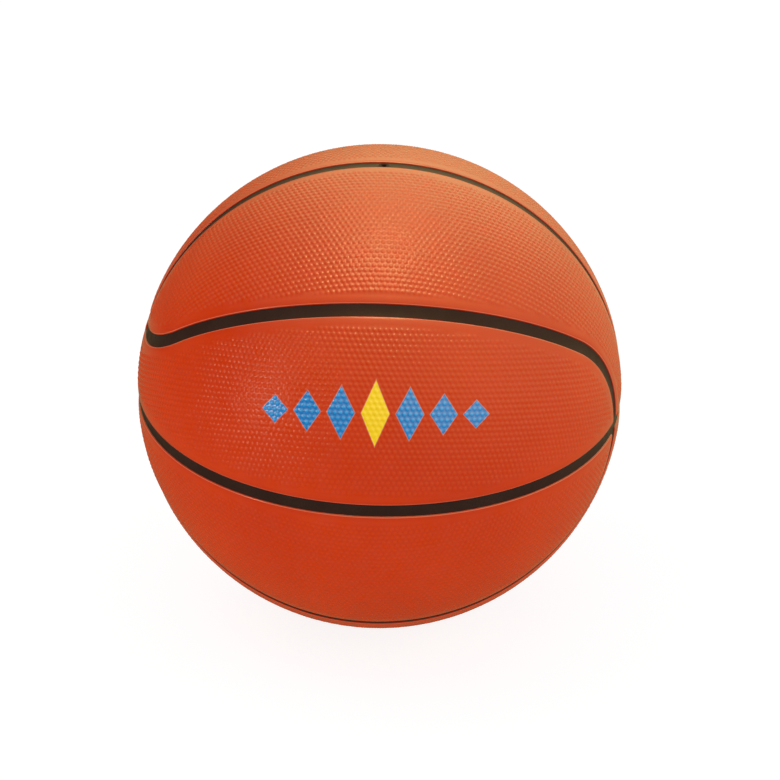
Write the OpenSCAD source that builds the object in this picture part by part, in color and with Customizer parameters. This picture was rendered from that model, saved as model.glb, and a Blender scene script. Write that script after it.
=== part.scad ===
// A size 7 rubber basketball with its valve at the top, all lengths in millimetres.
//
// The origin is the ball's centre, +Z runs out through the valve and X through the two
// junctions where the straight seams cross. Two straight seams run right round the ball,
// one level and one upright. A third, curved seam is a single closed line that lies midway
// between them and swings across the upright seam near -X and the level seam near +X.
// Together they cut the cover into eight panels of one shape, four of them mirrored.

/* [Ball] */
// Diameter over the faces of the panels
ball_d = 239; // [180:1:250]

/* [Layers] */
// Thickness of a cover panel
panel_t = 1.6; // [1.5:0.1:3]
// Thickness of a black strip in a channel
strip_t = 0.7; // [0.4:0.05:1.2]
// Thickness of the rubber carcass under the cover
carcass_t = 0.7; // [0.4:0.05:1.5]
// Thickness of the wound yarn layer under the carcass
winding_t = 0.4; // [0.3:0.05:1]
// Thickness of the bladder
bladder_t = 0.6; // [0.4:0.05:1.5]

/* [Seams] */
// Width of a channel between two panels
channel_w = 5.8; // [5.6:0.1:9]
// Radius of the rounded shoulder where a panel meets a channel
shoulder_r = 0.9; // [0.3:0.05:1.2]
// Angle at the centre from a junction to the place where the curved seam crosses
curve_end_angle = 16; // [12:0.5:22]

/* [Valve] */
// Width of the strip that is left on each side of the housing's neck
neck_margin = 0.3; // [0.2:0.05:0.45]
// Diameter of the core inside the neck
core_d = 3.8; // [3.4:0.1:4.2]
// Diameter of the bore that guides the inflating needle
needle_bore_d = 2.2; // [2:0.1:2.6]
// Length of that bore down to the closed slit
needle_bore_l = 7; // [5:0.5:9]
// Diameter of the countersink that leads the needle in
countersink_d = 3; // [2.8:0.1:3.2]
// Width of the slit that closes behind the needle
slit_w = 2.4; // [1.5:0.1:3]
// Gap of the slit when nothing is in it
slit_gap = 0.2; // [0.1:0.05:0.3]
// Diameter of the housing's barrel inside the bladder
barrel_d = 9; // [8:0.5:12]
// Length of the barrel from the bladder's inner face
barrel_l = 9; // [8:0.5:12]
// Diameter of the flange that is bonded under the bladder
flange_d = 26; // [18:1:34]
// Thickness of that flange
flange_t = 1; // [0.6:0.1:1.6]
// Diameter of the bulb that holds the core in the barrel
bulb_d = 5.8; // [5.2:0.1:6.4]
// Length of the bulb
bulb_l = 3; // [2:0.25:4]
// Length of the core's tail below the bulb
tail_l = 4; // [3:0.5:6]

/* [Hidden] */
$fn = 96;

panel_orange = [0.80, 0.27, 0.13];
strip_black = [0.16, 0.13, 0.11];
carcass_black = [0.10, 0.10, 0.10];
yarn_white = [0.88, 0.87, 0.82];
bladder_black = [0.20, 0.20, 0.21];
valve_black = [0.12, 0.12, 0.12];

// Radii of the faces where one layer is bonded to the next, from outside inwards
ball_r = ball_d / 2;
carcass_r = ball_r - panel_t;
winding_r = carcass_r - carcass_t;
bladder_r = winding_r - winding_t;
bladder_inner_r = bladder_r - bladder_t;
strip_r = carcass_r + strip_t;

// Diameter of the housing's neck, which shows in the channel and fills most of its width
neck_d = channel_w - neck_margin * 2;

// How far a cutting shape runs past what it cuts
overrun = panel_t;

// A shoulder's arc stands a little proud of the face, so that it meets it at a crease
shoulder_rise_share = 0.9;
shoulder_centre_r = ball_r - shoulder_r * shoulder_rise_share;

// The curved seam is made of four long great-circle arcs midway between the straight seams
// and of four end arcs. An end arc is part of a small circle centred on the seam that it
// crosses. The circle's centre follows from its two conditions: it touches the midway
// plane, and it crosses its seam at curve_end_angle from the junction.
midway_angle = 45;
right_angle = 90;
half_turn = 180;
full_turn = 360;
end_centre_angle = atan2(sin(curve_end_angle), cos(curve_end_angle) - sin(midway_angle));
touching_circle_angle = end_centre_angle - curve_end_angle;
touch_angle = acos(cos(end_centre_angle) / cos(touching_circle_angle));
touch_x = ball_r * cos(touch_angle);

// The circle is drawn this much too large, so that its walls cross those of the long arc
// at a crease too fine to see, and don't merely touch them
circle_excess = 0.2;
end_circle_angle = touching_circle_angle + asin(circle_excess / ball_r);

// Edge of a block that takes in the whole ball
block = ball_d + overrun * 2;
// Sections of what lies beside a seam start at this share of the radius
section_start_share = 0.5;

// Cross-section of all that lies to one side of a seam, x being the distance from the
// ball's centre and y the distance from the seam: it ends in the channel's straight wall
// and, where asked, in the rounded shoulder above it
module side_section(start_r, with_shoulder) {
    half_w = channel_w / 2;
    difference() {
        translate([start_r, half_w])
            square(block);
        if (with_shoulder)
            difference() {
                translate([shoulder_centre_r, half_w - overrun])
                    square([block, overrun + shoulder_r]);
                translate([shoulder_centre_r, half_w + shoulder_r])
                    circle(r = shoulder_r);
            }
    }
}

// All that lies above the level seam
module above_level_seam(with_shoulder) {
    rotate_extrude(angle = full_turn)
        side_section(0, with_shoulder);
}

// All that lies in front of the upright seam
module before_upright_seam(with_shoulder) {
    rotate([right_angle, 0, 0])
        above_level_seam(with_shoulder);
}

// All that lies below the long arc at the front and above the level seam
module below_long_arc(with_shoulder) {
    rotate([-midway_angle, 0, 0])
        mirror([0, 0, 1])
            above_level_seam(with_shoulder);
}

// Revolves a section about the centre of the end circle on the level seam near +X. The
// section's x runs out through the circle and its y towards the circle's centre.
module round_end_circle() {
    rotate([0, 0, right_angle - end_centre_angle])
        rotate([right_angle, 0, 0])
            rotate_extrude(angle = full_turn)
                intersection() {
                    translate([0, -block])
                        square([block * 2, block * 3]);
                    rotate(right_angle - end_circle_angle)
                        children();
                }
}

// Half turn that swaps the two panels of the upper front quarter
module swap_ends() {
    rotate(a = half_turn, v = [0, -1, 1])
        children();
}

// The share of the upper front quarter that holds the panel beside the level seam. Near +X
// it ends inside the end circle there. Near -X it passes round the outside of the other
// end circle, up to the upright seam.
module panel_share(with_shoulder) {
    start_r = ball_r * section_start_share;
    intersection() {
        below_long_arc(with_shoulder);
        union() {
            round_end_circle()
                side_section(start_r, with_shoulder);
            translate([touch_x - block, -block / 2, -block / 2])
                cube(block);
        }
    }
    intersection() {
        swap_ends()
            round_end_circle()
                mirror([0, 1])
                    side_section(start_r, with_shoulder);
        translate([-touch_x - block, -block / 2, -block / 2])
            cube(block);
    }
}

// One panel, in its place at the front beside and above the level seam
module panel() {
    color(panel_orange)
        intersection() {
            difference() {
                sphere(r = ball_r);
                sphere(r = carcass_r);
            }
            above_level_seam(true);
            before_upright_seam(true);
            panel_share(true);
        }
}

// Cross-section of a straight seam's strip, which lies on the carcass between two walls
module strip_section() {
    intersection() {
        difference() {
            circle(r = strip_r);
            circle(r = carcass_r);
        }
        translate([0, -channel_w / 2])
            square([ball_r, channel_w]);
    }
}

// Strip of the level seam, one ring
module strip_level() {
    color(strip_black)
        rotate_extrude(angle = full_turn)
            strip_section();
}

// Slab as thick as a channel is wide, in the level plane
module level_slab() {
    translate([-block / 2, -block / 2, -channel_w / 2])
        cube([block, block, channel_w]);
}

// Upper half of the upright seam's strip, which butts against the ring at both ends
module strip_upright_half() {
    color(strip_black)
        difference() {
            rotate([right_angle, 0, 0])
                rotate_extrude(angle = half_turn)
                    strip_section();
            level_slab();
        }
}

// The half at the top, with the hole for the valve's neck
module strip_upright_top() {
    difference() {
        strip_upright_half();
        neck_hole();
    }
}

// One of the four stretches of the curved seam's strip. It fills the channel between the
// two panels of its quarter, and butts against both straight strips.
module strip_curve() {
    color(strip_black)
        difference() {
            intersection() {
                difference() {
                    sphere(r = strip_r);
                    sphere(r = carcass_r);
                }
                translate([-block / 2, -block - channel_w / 2, channel_w / 2])
                    cube(block);
            }
            panel_share(false);
            swap_ends()
                panel_share(false);
        }
}

// Hole for the valve's neck through every layer at the top
module neck_hole() {
    cylinder(h = ball_d, d = neck_d);
}

// One closed layer of the wall between two radii, open only at the valve's neck
module wall_layer(outer_r, inner_r) {
    difference() {
        sphere(r = outer_r);
        sphere(r = inner_r);
        neck_hole();
    }
}

module carcass() {
    color(carcass_black)
        wall_layer(carcass_r, winding_r);
}

module winding() {
    color(yarn_white)
        wall_layer(winding_r, bladder_r);
}

module bladder() {
    color(bladder_black)
        wall_layer(bladder_r, bladder_inner_r);
}

// Height of the barrel's inner end above the ball's centre
barrel_end_z = bladder_inner_r - barrel_l;
// The bulb sits halfway along the barrel
bulb_top_z = bladder_inner_r - (barrel_l - bulb_l) / 2;
bulb_end_z = bulb_top_z - bulb_l;
core_end_z = bulb_end_z - tail_l;

// Outline of the core from its outer face to the end of its tail, revolved about Z
module core_solid() {
    intersection() {
        sphere(r = strip_r);
        translate([0, 0, core_end_z])
            cylinder(h = ball_r - core_end_z, d = core_d);
    }
    translate([0, 0, bulb_end_z])
        cylinder(h = bulb_l, d = bulb_d);
}

// Rubber housing of the valve: a flange bonded under the bladder, a barrel inside and a
// neck that passes out through every layer into the channel
module valve_housing() {
    color(valve_black)
        difference() {
            union() {
                intersection() {
                    difference() {
                        sphere(r = bladder_inner_r);
                        sphere(r = bladder_inner_r - flange_t);
                    }
                    cylinder(h = ball_r, d = flange_d);
                }
                intersection() {
                    sphere(r = bladder_inner_r);
                    translate([0, 0, barrel_end_z])
                        cylinder(h = ball_r - barrel_end_z, d = barrel_d);
                }
                intersection() {
                    sphere(r = strip_r);
                    translate([0, 0, barrel_end_z])
                        cylinder(h = ball_r - barrel_end_z, d = neck_d);
                }
            }
            translate([0, 0, bulb_end_z])
                cylinder(h = bulb_l, d = bulb_d);
            translate([0, 0, barrel_end_z - overrun])
                cylinder(h = ball_d, d = core_d);
        }
}

// Rubber core that seals the valve: a countersunk bore guides the needle to a slit, which
// runs on to the end of the tail
module valve_core() {
    bore_end_z = strip_r - needle_bore_l;
    countersink_h = (countersink_d - needle_bore_d) / 2;
    color(valve_black)
        difference() {
            core_solid();
            translate([0, 0, bore_end_z])
                cylinder(h = needle_bore_l + overrun, d = needle_bore_d);
            translate([0, 0, strip_r - countersink_h])
                cylinder(h = countersink_h * 2, d1 = needle_bore_d,
                         d2 = countersink_d * 2 - needle_bore_d);
            translate([-slit_w / 2, -slit_gap / 2, core_end_z - overrun])
                cube([slit_w, slit_gap, bore_end_z - core_end_z + overrun * 2]);
        }
}

panel();  // panel_front_upper
mirror([0, 0, 1]) panel();  // panel_front_lower
mirror([0, 1, 0]) panel();  // panel_back_upper
rotate([half_turn, 0, 0]) panel();  // panel_back_lower
swap_ends() panel();  // panel_top_front
mirror([0, 1, 0]) swap_ends() panel();  // panel_top_back
mirror([0, 0, 1]) swap_ends() panel();  // panel_bottom_front
rotate([half_turn, 0, 0]) swap_ends() panel();  // panel_bottom_back
strip_level();
strip_upright_top();
mirror([0, 0, 1]) strip_upright_half();  // strip_upright_bottom
strip_curve();  // strip_curve_front_upper
mirror([0, 0, 1]) strip_curve();  // strip_curve_front_lower
mirror([0, 1, 0]) strip_curve();  // strip_curve_back_upper
rotate([half_turn, 0, 0]) strip_curve();  // strip_curve_back_lower
carcass();
winding();
bladder();
valve_housing();
valve_core();
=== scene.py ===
import enum
import logging
import math
from dataclasses import dataclass
from dataclasses import replace

import bpy
import numpy as np
from mathutils import Matrix
from mathutils.geometry import delaunay_2d_cdt


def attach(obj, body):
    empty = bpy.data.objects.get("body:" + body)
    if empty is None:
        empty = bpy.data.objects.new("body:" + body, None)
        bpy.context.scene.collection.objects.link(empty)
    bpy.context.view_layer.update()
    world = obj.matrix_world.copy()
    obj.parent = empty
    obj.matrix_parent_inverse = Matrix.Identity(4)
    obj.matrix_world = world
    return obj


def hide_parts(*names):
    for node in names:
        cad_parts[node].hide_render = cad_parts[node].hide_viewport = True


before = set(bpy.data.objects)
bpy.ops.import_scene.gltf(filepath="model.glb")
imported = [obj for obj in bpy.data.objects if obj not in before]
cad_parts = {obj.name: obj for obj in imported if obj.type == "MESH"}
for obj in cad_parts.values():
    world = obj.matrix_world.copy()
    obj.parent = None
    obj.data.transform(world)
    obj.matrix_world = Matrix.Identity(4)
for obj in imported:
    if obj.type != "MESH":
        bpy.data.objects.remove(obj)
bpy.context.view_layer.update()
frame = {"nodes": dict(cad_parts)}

ROOT = "root"
MM = 0.001
X_AXIS, Y_AXIS, Z_AXIS = np.eye(3)
CREASE = math.radians(62.0)
INSIDE_LOOPS = 1
MERGED_MM = 1e-6
TINY = 1e-6
WHITE = (1.0, 1.0, 1.0, 1.0)

ArrayPair = tuple[np.ndarray, np.ndarray]
Colour = tuple[float, float, float, float]
Socket = bpy.types.NodeSocket

log = logging.getLogger("basketball")


class Slot(enum.Enum):
    """Material slots of the record that the pieces take their finish from."""

    COVER = "cover_rubber"
    CHANNEL = "channel_rubber"
    CARCASS = "carcass_rubber"
    YARN = "yarn"
    BLADDER = "bladder_rubber"
    VALVE = "valve_rubber"


def unit(vectors: np.ndarray) -> np.ndarray:
    """Scales vectors to length one.

    Args:
        vectors: One vector, or an array with a vector in each row.

    Returns:
        The same directions, each of length one.
    """
    return vectors / np.linalg.norm(vectors, axis=-1, keepdims=True)


def smooth_step(values: np.ndarray) -> np.ndarray:
    """Rises smoothly from 0 to 1 while the values go from 0 to 1: three squares less two cubes."""
    share = np.clip(values, 0.0, 1.0)
    return share * share * (3.0 - 2.0 * share)


def fill(chart: np.ndarray, loops: list[np.ndarray]) -> np.ndarray:
    """Joins the points inside closed loops into triangles that are as even as can be.

    Args:
        chart: Places of all points on a flat chart, in metres.
        loops: Indices of each loop's points, in order.

    Returns:
        Indices of each triangle's points, anticlockwise on the chart.
    """
    edges = np.concatenate([np.stack([loop, np.roll(loop, -1)], axis=1) for loop in loops])
    found = delaunay_2d_cdt((chart / MM).tolist(), edges.tolist(), [], INSIDE_LOOPS, MERGED_MM)
    return np.array(found[2], dtype=np.int64)


def band(upper: np.ndarray, lower: np.ndarray) -> np.ndarray:
    """Joins two closed loops with equally many points by a band of triangles.

    Args:
        upper: Indices of the upper loop's points, in the order that has the rubber on the
            left, seen from outside.
        lower: Indices of the points below them.

    Returns:
        Indices of each triangle's points, two triangles to a step.
    """
    ahead, below_ahead = np.roll(upper, -1), np.roll(lower, -1)
    halves = [[upper, lower, below_ahead], [upper, below_ahead, ahead]]
    return np.concatenate([np.stack(half, axis=1) for half in halves])


def make_piece(
    name: str,
    points: np.ndarray,
    faces: np.ndarray,
    chart: np.ndarray | None = None,
    relief: np.ndarray | None = None,
) -> bpy.types.Object:
    """Puts whole arrays of points and faces into a mesh object at the origin.

    Args:
        name: Name of the piece.
        points: Points in metres, one in each row.
        faces: Indices of each face's points, anticlockwise seen from outside.
        chart: Each point's place on the flat chart of its piece, in metres, for its UV map.
        relief: How far each point stands above the smooth surface, in millimetres.

    Returns:
        The new object, smooth shaded, with creases kept sharp.
    """
    corners = faces.shape[1]
    mesh = bpy.data.meshes.new(name)
    mesh.vertices.add(len(points))
    mesh.vertices.foreach_set("co", points.astype(np.float32).ravel())
    mesh.loops.add(faces.size)
    mesh.loops.foreach_set("vertex_index", faces.astype(np.int32).ravel())
    mesh.polygons.add(len(faces))
    mesh.polygons.foreach_set("loop_start", np.arange(0, faces.size, corners, dtype=np.int32))
    mesh.polygons.foreach_set("use_smooth", np.ones(len(faces), dtype=bool))
    mesh.update(calc_edges=True)
    if chart is not None:
        layer = mesh.uv_layers.new(name="chart")
        layer.data.foreach_set("uv", chart[faces.ravel()].astype(np.float32).ravel())
    if relief is not None:
        layer = mesh.attributes.new("relief", "FLOAT", "POINT")
        layer.data.foreach_set("value", relief.astype(np.float32))
    mesh.set_sharp_from_angle(angle=CREASE)
    piece = bpy.data.objects.new(name, mesh)
    bpy.context.scene.collection.objects.link(piece)
    return piece


@dataclass(frozen=True)
class Arc:
    """Part of a circle on the unit sphere.

    A point at turn t is cos(radius) times the centre plus sin(radius) times the direction
    that lies t round from the start direction towards the side direction. The grows field
    says whether the circles beside it get wider, 1, or narrower, -1, towards the panel
    beside the level seam.
    """

    centre: np.ndarray
    start_way: np.ndarray
    side_way: np.ndarray
    radius: float
    first_turn: float
    last_turn: float
    grows: int = 0

    def points(self, radius: np.ndarray, turns: np.ndarray) -> np.ndarray:
        """Works out points of circles about the arc's centre.

        Args:
            radius: Angle at the ball's centre between the circle and the arc's centre.
            turns: Turn of each point, in radians.

        Returns:
            Unit vectors, with the shape of radius and turns together and an axis more.
        """
        around = (
            np.cos(turns)[..., None] * self.start_way + np.sin(turns)[..., None] * self.side_way
        )
        return np.cos(radius)[..., None] * self.centre + np.sin(radius)[..., None] * around

    def length(self, radius: float) -> float:
        """Gives the length between the two turns of a circle of that radius."""
        return abs(self.last_turn - self.first_turn) * math.sin(radius)


@dataclass(frozen=True)
class SeamLayout:
    """Where the ball's three seams run, on the unit sphere, as in the part's source.

    One straight seam is level, in z = 0, the other upright, in y = 0. In the upper front
    quarter the curved seam runs midway between them, and turns on two small circles to
    cross the level seam near +X and the upright seam near -X.
    """

    ball_r: float = 119.5 * MM
    channel_w: float = 5.8 * MM
    curve_end: float = math.radians(16.0)
    midway: float = math.radians(45.0)

    @property
    def end_centre(self) -> float:
        """Angle from a junction to the centre of the small circle beside it."""
        return math.atan2(
            math.sin(self.curve_end), math.cos(self.curve_end) - math.sin(self.midway)
        )

    @property
    def circle(self) -> float:
        """Angular radius of a small circle."""
        return self.end_centre - self.curve_end

    @property
    def touch(self) -> float:
        """Angle from a junction to the place where a small circle touches the long arc."""
        return math.acos(math.cos(self.end_centre) / math.cos(self.circle))

    @property
    def half_channel(self) -> float:
        """Half of a channel's width, as an angle at the ball's centre."""
        return self.channel_w / 2 / self.ball_r

    @property
    def level_circle_centre(self) -> np.ndarray:
        """Centre of the small circle that crosses the level seam near +X."""
        return np.array([math.cos(self.end_centre), -math.sin(self.end_centre), 0.0])

    @property
    def upright_circle_centre(self) -> np.ndarray:
        """Centre of the small circle that crosses the upright seam near -X."""
        return np.array([-math.cos(self.end_centre), 0.0, math.sin(self.end_centre)])

    def curve_arcs(self) -> list[Arc]:
        """Gives the curved seam of the upper front quarter, from the upright seam near -X.

        Returns:
            The turn about the upright seam's circle, the long arc, whose centre is its pole
            below, and the turn about the level seam's circle.
        """
        down = unit(-Y_AXIS - Z_AXIS)
        high = self.upright_circle_centre
        low = self.level_circle_centre
        high_start = unit(np.cross(np.cross(high, -X_AXIS), high))
        low_start = unit(np.cross(np.cross(low, X_AXIS), low))
        reach = math.pi / 2 - self.touch
        touch_point = math.sin(reach) * X_AXIS + math.cos(reach) * unit(Z_AXIS - Y_AXIS)
        high_touch = touch_point * np.array([-1.0, 1.0, 1.0])
        high_turn = math.atan2(high_touch @ -Y_AXIS, high_touch @ high_start)
        low_turn = math.atan2(touch_point @ Z_AXIS, touch_point @ low_start)
        return [
            Arc(high, high_start, -Y_AXIS, self.circle, 0.0, high_turn, 1),
            Arc(down, unit(Z_AXIS - Y_AXIS), X_AXIS, math.pi / 2, -reach, reach, -1),
            Arc(low, low_start, Z_AXIS, self.circle, low_turn, 0.0, -1),
        ]

    def inward(self, points: np.ndarray) -> ArrayPair:
        """Measures from each seam into the panel beside the level seam, upper front quarter.

        From a plane through the centre the angle is the arcsine of the height above it, and
        from a small circle it is the difference between the circle's radius and the angle
        to its centre.

        Args:
            points: Unit vectors, one in each row.

        Returns:
            The angles, one column each for the level, upright and curved seam, and the
            directions in which each of them grows, on the sphere.
        """
        down = unit(-Y_AXIS - Z_AXIS)
        low = self.level_circle_centre
        high = self.upright_circle_centre
        to_low = np.arccos(np.clip(points @ low, -1.0, 1.0))
        to_high = np.arccos(np.clip(points @ high, -1.0, 1.0))
        touch_x = math.cos(self.touch)
        near_low = points[:, 0] > touch_x
        near_high = points[:, 0] < -touch_x
        curved = np.arcsin(np.clip(points @ down, -1.0, 1.0))
        curved = np.where(near_low, self.circle - to_low, curved)
        curved = np.where(near_high, to_high - self.circle, curved)
        level, upright = np.arcsin(points @ Z_AXIS), np.arcsin(points @ -Y_AXIS)
        pull = np.where(near_low[:, None], low, np.broadcast_to(down, points.shape))
        pull = np.where(near_high[:, None], -high, pull)
        straight = [np.broadcast_to(way, points.shape) for way in (Z_AXIS, -Y_AXIS)]
        pulls = np.stack([*straight, pull], axis=1)
        along = np.einsum("nij,nj->ni", pulls, points)
        ways = unit(pulls - along[:, :, None] * points[:, None, :])
        return np.stack([level, upright, curved], axis=1), ways

    def inside(self, points: np.ndarray, corner_r: float) -> ArrayPair:
        """Measures how far points lie inside the walls of the reference panel.

        Away from corners it is the distance to the nearest wall. Within corner_r of two
        walls it is corner_r less the distance from the centre of the rounded corner.

        Args:
            points: Unit vectors, one in each row.
            corner_r: Radius of the panel's corners, in metres.

        Returns:
            The distances in metres and the directions in which they grow.
        """
        angles, ways = self.inward(points)
        distances = self.ball_r * (angles - self.half_channel)
        lacks = np.maximum(corner_r - distances, 0.0)
        total = np.linalg.norm(lacks, axis=1)
        nearest = np.argmin(distances, axis=1)
        rows = np.arange(len(points))
        beside = total > 0.0
        distance = np.where(beside, corner_r - total, distances[rows, nearest])
        mean_way = np.einsum("ni,nij->nj", lacks, ways) / np.maximum(total, TINY)[:, None]
        way = np.where(beside[:, None], mean_way, ways[rows, nearest])
        return distance, unit(way)

    def to_nearest_seam(self, points: np.ndarray) -> np.ndarray:
        """Measures how far points lie from the nearest seam's centre line.

        Args:
            points: Unit vectors anywhere on the sphere. Each is first folded into the
                upper front quarter, whose mirror images the other quarters are.

        Returns:
            Distances in metres.
        """
        x, y, z = points.T
        angles, _ = self.inward(np.stack([x, -np.abs(y), np.abs(z)], axis=1))
        return self.ball_r * np.min(np.abs(angles), axis=1)


@dataclass(frozen=True)
class PanelChart:
    """Flat chart of the reference panel: distance along its middle line and across it.

    The middle line is the great circle halfway between the level seam and the long arc.
    """

    ball_r: float
    tilt: float = math.radians(22.5)

    @property
    def front(self) -> np.ndarray:
        """Direction of the chart's origin, in the middle of the panel."""
        return np.array([0.0, -math.cos(self.tilt), math.sin(self.tilt)])

    @property
    def pole(self) -> np.ndarray:
        """Pole of the middle line, on the side of the curved seam."""
        return np.array([0.0, math.sin(self.tilt), math.cos(self.tilt)])

    def to_sphere(self, chart: np.ndarray) -> np.ndarray:
        """Turns places on the chart into unit vectors.

        The place along is a longitude and the place across a latitude, each times the
        ball's radius.

        Args:
            chart: Places in metres, one in each row.

        Returns:
            Unit vectors, one in each row.
        """
        along, across = (chart / self.ball_r).T
        ring = np.sin(along)[:, None] * X_AXIS + np.cos(along)[:, None] * self.front
        return np.cos(across)[:, None] * ring + np.sin(across)[:, None] * self.pole

    def from_sphere(self, points: np.ndarray) -> np.ndarray:
        """Turns unit vectors into places on the chart, the other way round.

        Args:
            points: Unit vectors, one in each row.

        Returns:
            Places in metres, one in each row.
        """
        along = np.arctan2(points @ X_AXIS, points @ self.front)
        across = np.arcsin(np.clip(points @ self.pole, -1.0, 1.0))
        return self.ball_r * np.stack([along, across], axis=1)


@dataclass(frozen=True)
class PebbleField:
    """Round pebbles in rows on the chart, each row shifted by half a pitch.

    A pebble is a low dome: a middle point and three rings of points. Its height at a share
    s of its radius is one less s squared, a parabola. Each ring is turned by ring_shift, a
    share of a full turn, against the one inside it.
    """

    pitch: float = 2.6 * MM
    row_pitch: float = 2.5 * MM
    pebble_r: float = 1.08 * MM
    height: float = 0.27 * MM
    valley: float = 0.07 * MM
    starts: float = 4.6 * MM
    full: float = 6.2 * MM
    uneven: float = 0.14
    ring_shares: tuple[float, ...] = (0.4, 0.75, 1.0)
    ring_counts: tuple[int, ...] = (6, 12, 12)
    ring_shift: float = 1 / 24
    chance_way: tuple[float, float] = (12.9898, 78.233)
    chance_steepness: float = 43758.5453

    def centres(self, reach: tuple[float, float]) -> np.ndarray:
        """Gives the place of every pebble on the chart, row by row.

        Args:
            reach: How far the chart reaches along and across, in metres.

        Returns:
            Places in metres, one in each row.
        """
        rows = int(reach[1] / self.row_pitch) + 1
        columns = int(reach[0] / self.pitch) + rows // 2 + 1
        row, column = np.mgrid[-rows:rows + 1, -columns:columns + 1].reshape(2, -1)
        return np.stack([(column + row / 2) * self.pitch, row * self.row_pitch], axis=1)

    def chance(self, places: np.ndarray, seed: float) -> np.ndarray:
        """Gives each place its own number from 0 to 1: the fraction of a steep sine wave."""
        wave = np.sin((places @ np.array(self.chance_way) + seed) / MM) * self.chance_steepness
        return wave - np.floor(wave)

    def domes(self, centres: np.ndarray, inside: np.ndarray, shrink: np.ndarray) -> ArrayPair:
        """Places the points of all pebbles.

        Pebbles near the smooth border are lower. The others differ a little by chance.

        Args:
            centres: Places of the pebbles on the chart.
            inside: How far each pebble lies inside the panel's walls.
            shrink: Length on the ball of a unit along the chart, at each pebble.

        Returns:
            The points' places on the chart, and their heights above the smooth surface.
        """
        shares = np.repeat((0.0, *self.ring_shares), (1, *self.ring_counts))
        rings = [np.arange(n) / n + ring * self.ring_shift for ring, n in enumerate(self.ring_counts)]
        turns = np.concatenate([[0.0], *rings])
        turns = 2 * math.pi * (turns[None, :] + self.chance(centres, 1.0)[:, None])
        size = self.pebble_r * (1.0 + self.uneven / 2 * (self.chance(centres, 2.0) - 0.5))
        radii = size[:, None] * shares[None, :]
        along = centres[:, :1] + radii * np.cos(turns) / shrink[:, None]
        across = centres[:, 1:] + radii * np.sin(turns)
        fade = smooth_step((inside - self.starts) / (self.full - self.starts))[:, None]
        lift = 1.0 + self.uneven * (2.0 * self.chance(centres, 3.0)[:, None] - 1.0)
        dome = 1.0 - shares**2
        height = self.height * dome * lift * fade - self.valley * fade
        return np.stack([along, across], axis=-1).reshape(-1, 2), height.ravel()


@dataclass(frozen=True)
class PanelProfile:
    """Cross-section of a panel's edge: its thickness, its shoulder and its rounded corners.

    The smooth border sinks towards the channel as a parabola, and the shoulder starts
    with the slope that the border ends with.
    """

    thickness: float = 1.6 * MM
    shoulder_r: float = 0.9 * MM
    shoulder_steps: int = 6
    corner_r: float = 1.5 * MM
    border_w: float = 3.8 * MM
    border_sink: float = 0.22 * MM
    border_corner_r: float = 5.5 * MM
    border_steps: int = 4
    outline_step: float = 0.7 * MM
    fewest_steps: int = 4
    inner_step: float = 9.0 * MM

    def levels(self) -> np.ndarray:
        """Gives the profile from the crest of the shoulder down to the inner face.

        Returns:
            Pairs of distance inside the wall and depth below the face: a stretch of a
            circle, then the straight wall.
        """
        slope = math.atan(2.0 * self.border_sink / (self.border_w - self.shoulder_r))
        turn = np.linspace(slope, math.pi / 2, self.shoulder_steps + 1)
        inside = self.shoulder_r * (1.0 - np.sin(turn))
        depth = self.border_sink + self.shoulder_r * (math.cos(slope) - np.cos(turn))
        wall = [[0.0, (depth[-1] + self.thickness) / 2], [0.0, self.thickness]]
        return np.concatenate([np.stack([inside, depth], axis=1), wall])

    def border_shares(self) -> np.ndarray:
        """Gives each border line's share of the way from the pebbles to the shoulder."""
        return np.linspace(0.0, 1.0, self.border_steps + 1)[:-1]


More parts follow.
